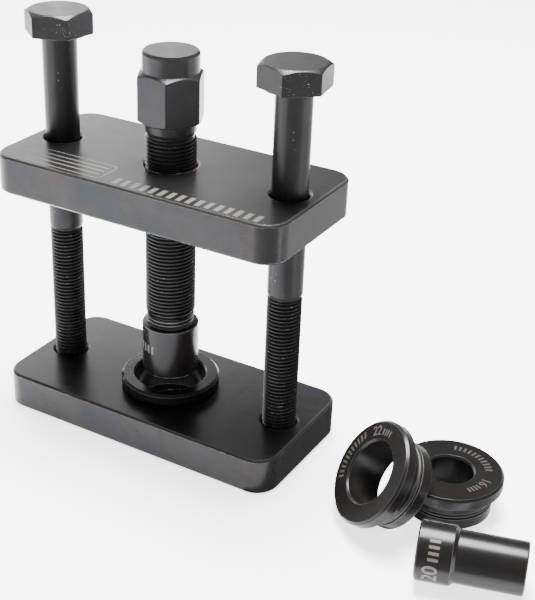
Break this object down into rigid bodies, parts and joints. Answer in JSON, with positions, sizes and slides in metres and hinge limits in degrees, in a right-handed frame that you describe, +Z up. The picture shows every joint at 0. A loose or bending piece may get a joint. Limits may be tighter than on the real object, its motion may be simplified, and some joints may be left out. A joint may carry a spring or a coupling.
{
  "type": "universal joint press kit",
  "caption": "Two-plate press that pushes the bearing caps out of universal joints: guide bolts, a forcing screw with a driver, and loose receiver rings and driver beside it.",
  "frame": {"origin": "middle of the kit's footprint, on the surface that it stands on", "axes": "+X along the plates, from the press towards its loose adapters; +Y to the back; +Z up along the forcing screw, away from the lower plate"},
  "size_m": [0.2162, 0.0736, 0.1532],
  "materials": {
    "plate_steel": "satin black oxide on ground steel plate",
    "bolt_steel": "black oxide",
    "screw_steel": "black oxide, oiled",
    "adapter_steel": "black oxide on turned steel",
    "oring_rubber": "plain"
  },
  "bodies": {
    "base": {"lower_plate": "plate_steel"},
    "left_bolt": {"guide_bolt_left": "bolt_steel"},
    "right_bolt": {"guide_bolt_right": "bolt_steel"},
    "upper_plate": {"upper_plate": "plate_steel"},
    "driver": {"driver_22": "adapter_steel"},
    "screw": {"forcing_screw": "screw_steel", "nose_oring": "oring_rubber"},
    "ring_27": {"receiver_ring_27": "adapter_steel", "oring_27": "oring_rubber"},
    "ring_16": {"receiver_ring_16": "adapter_steel", "oring_16": "oring_rubber"},
    "ring_22": {"receiver_ring_22": "adapter_steel", "oring_22": "oring_rubber"},
    "driver_20": {"driver_20": "adapter_steel"}
  },
  "joints": [
    {"name": "upper_plate_slide", "type": "slide", "parent": "base", "child": "upper_plate", "axis": [0, 0, 1], "range_m": [-0.0103, 0.0369]},
    {"name": "screw_feed", "type": "slide", "parent": "upper_plate", "child": "driver", "axis": [0, 0, 1], "range_m": [-0.0113, 0.0447]},
    {"name": "screw_turn", "type": "hinge", "parent": "driver", "child": "screw", "pos_m": [-0.04787, 0.00811, 0.1], "axis": [0, 0, 1], "continuous": true},
    {"name": "left_bolt_turn", "type": "hinge", "parent": "base", "child": "left_bolt", "pos_m": [-0.09617, 0.00811, 0.08], "axis": [0, 0, 1], "continuous": true},
    {"name": "right_bolt_turn", "type": "hinge", "parent": "base", "child": "right_bolt", "pos_m": [0.00043, 0.00811, 0.08], "axis": [0, 0, 1], "continuous": true},
    {"name": "ring_27_lift", "type": "slide", "parent": "base", "child": "ring_27", "axis": [0, 0, 1], "range_m": [0, 0.03]},
    {"name": "ring_16_lift", "type": "slide", "parent": "base", "child": "ring_16", "axis": [0, 0, 1], "range_m": [0, 0.05]},
    {"name": "ring_22_lift", "type": "slide", "parent": "ring_16", "child": "ring_22", "axis": [0, 0, 1], "range_m": [0, 0.05]},
    {"name": "driver_20_lift", "type": "slide", "parent": "base", "child": "driver_20", "axis": [0, 0, 1], "range_m": [0, 0.05]}
  ],
  "couplings": [
    {"joint": "screw_turn", "follows": "screw_feed", "rad_per_m": 4333.2}
  ]
}
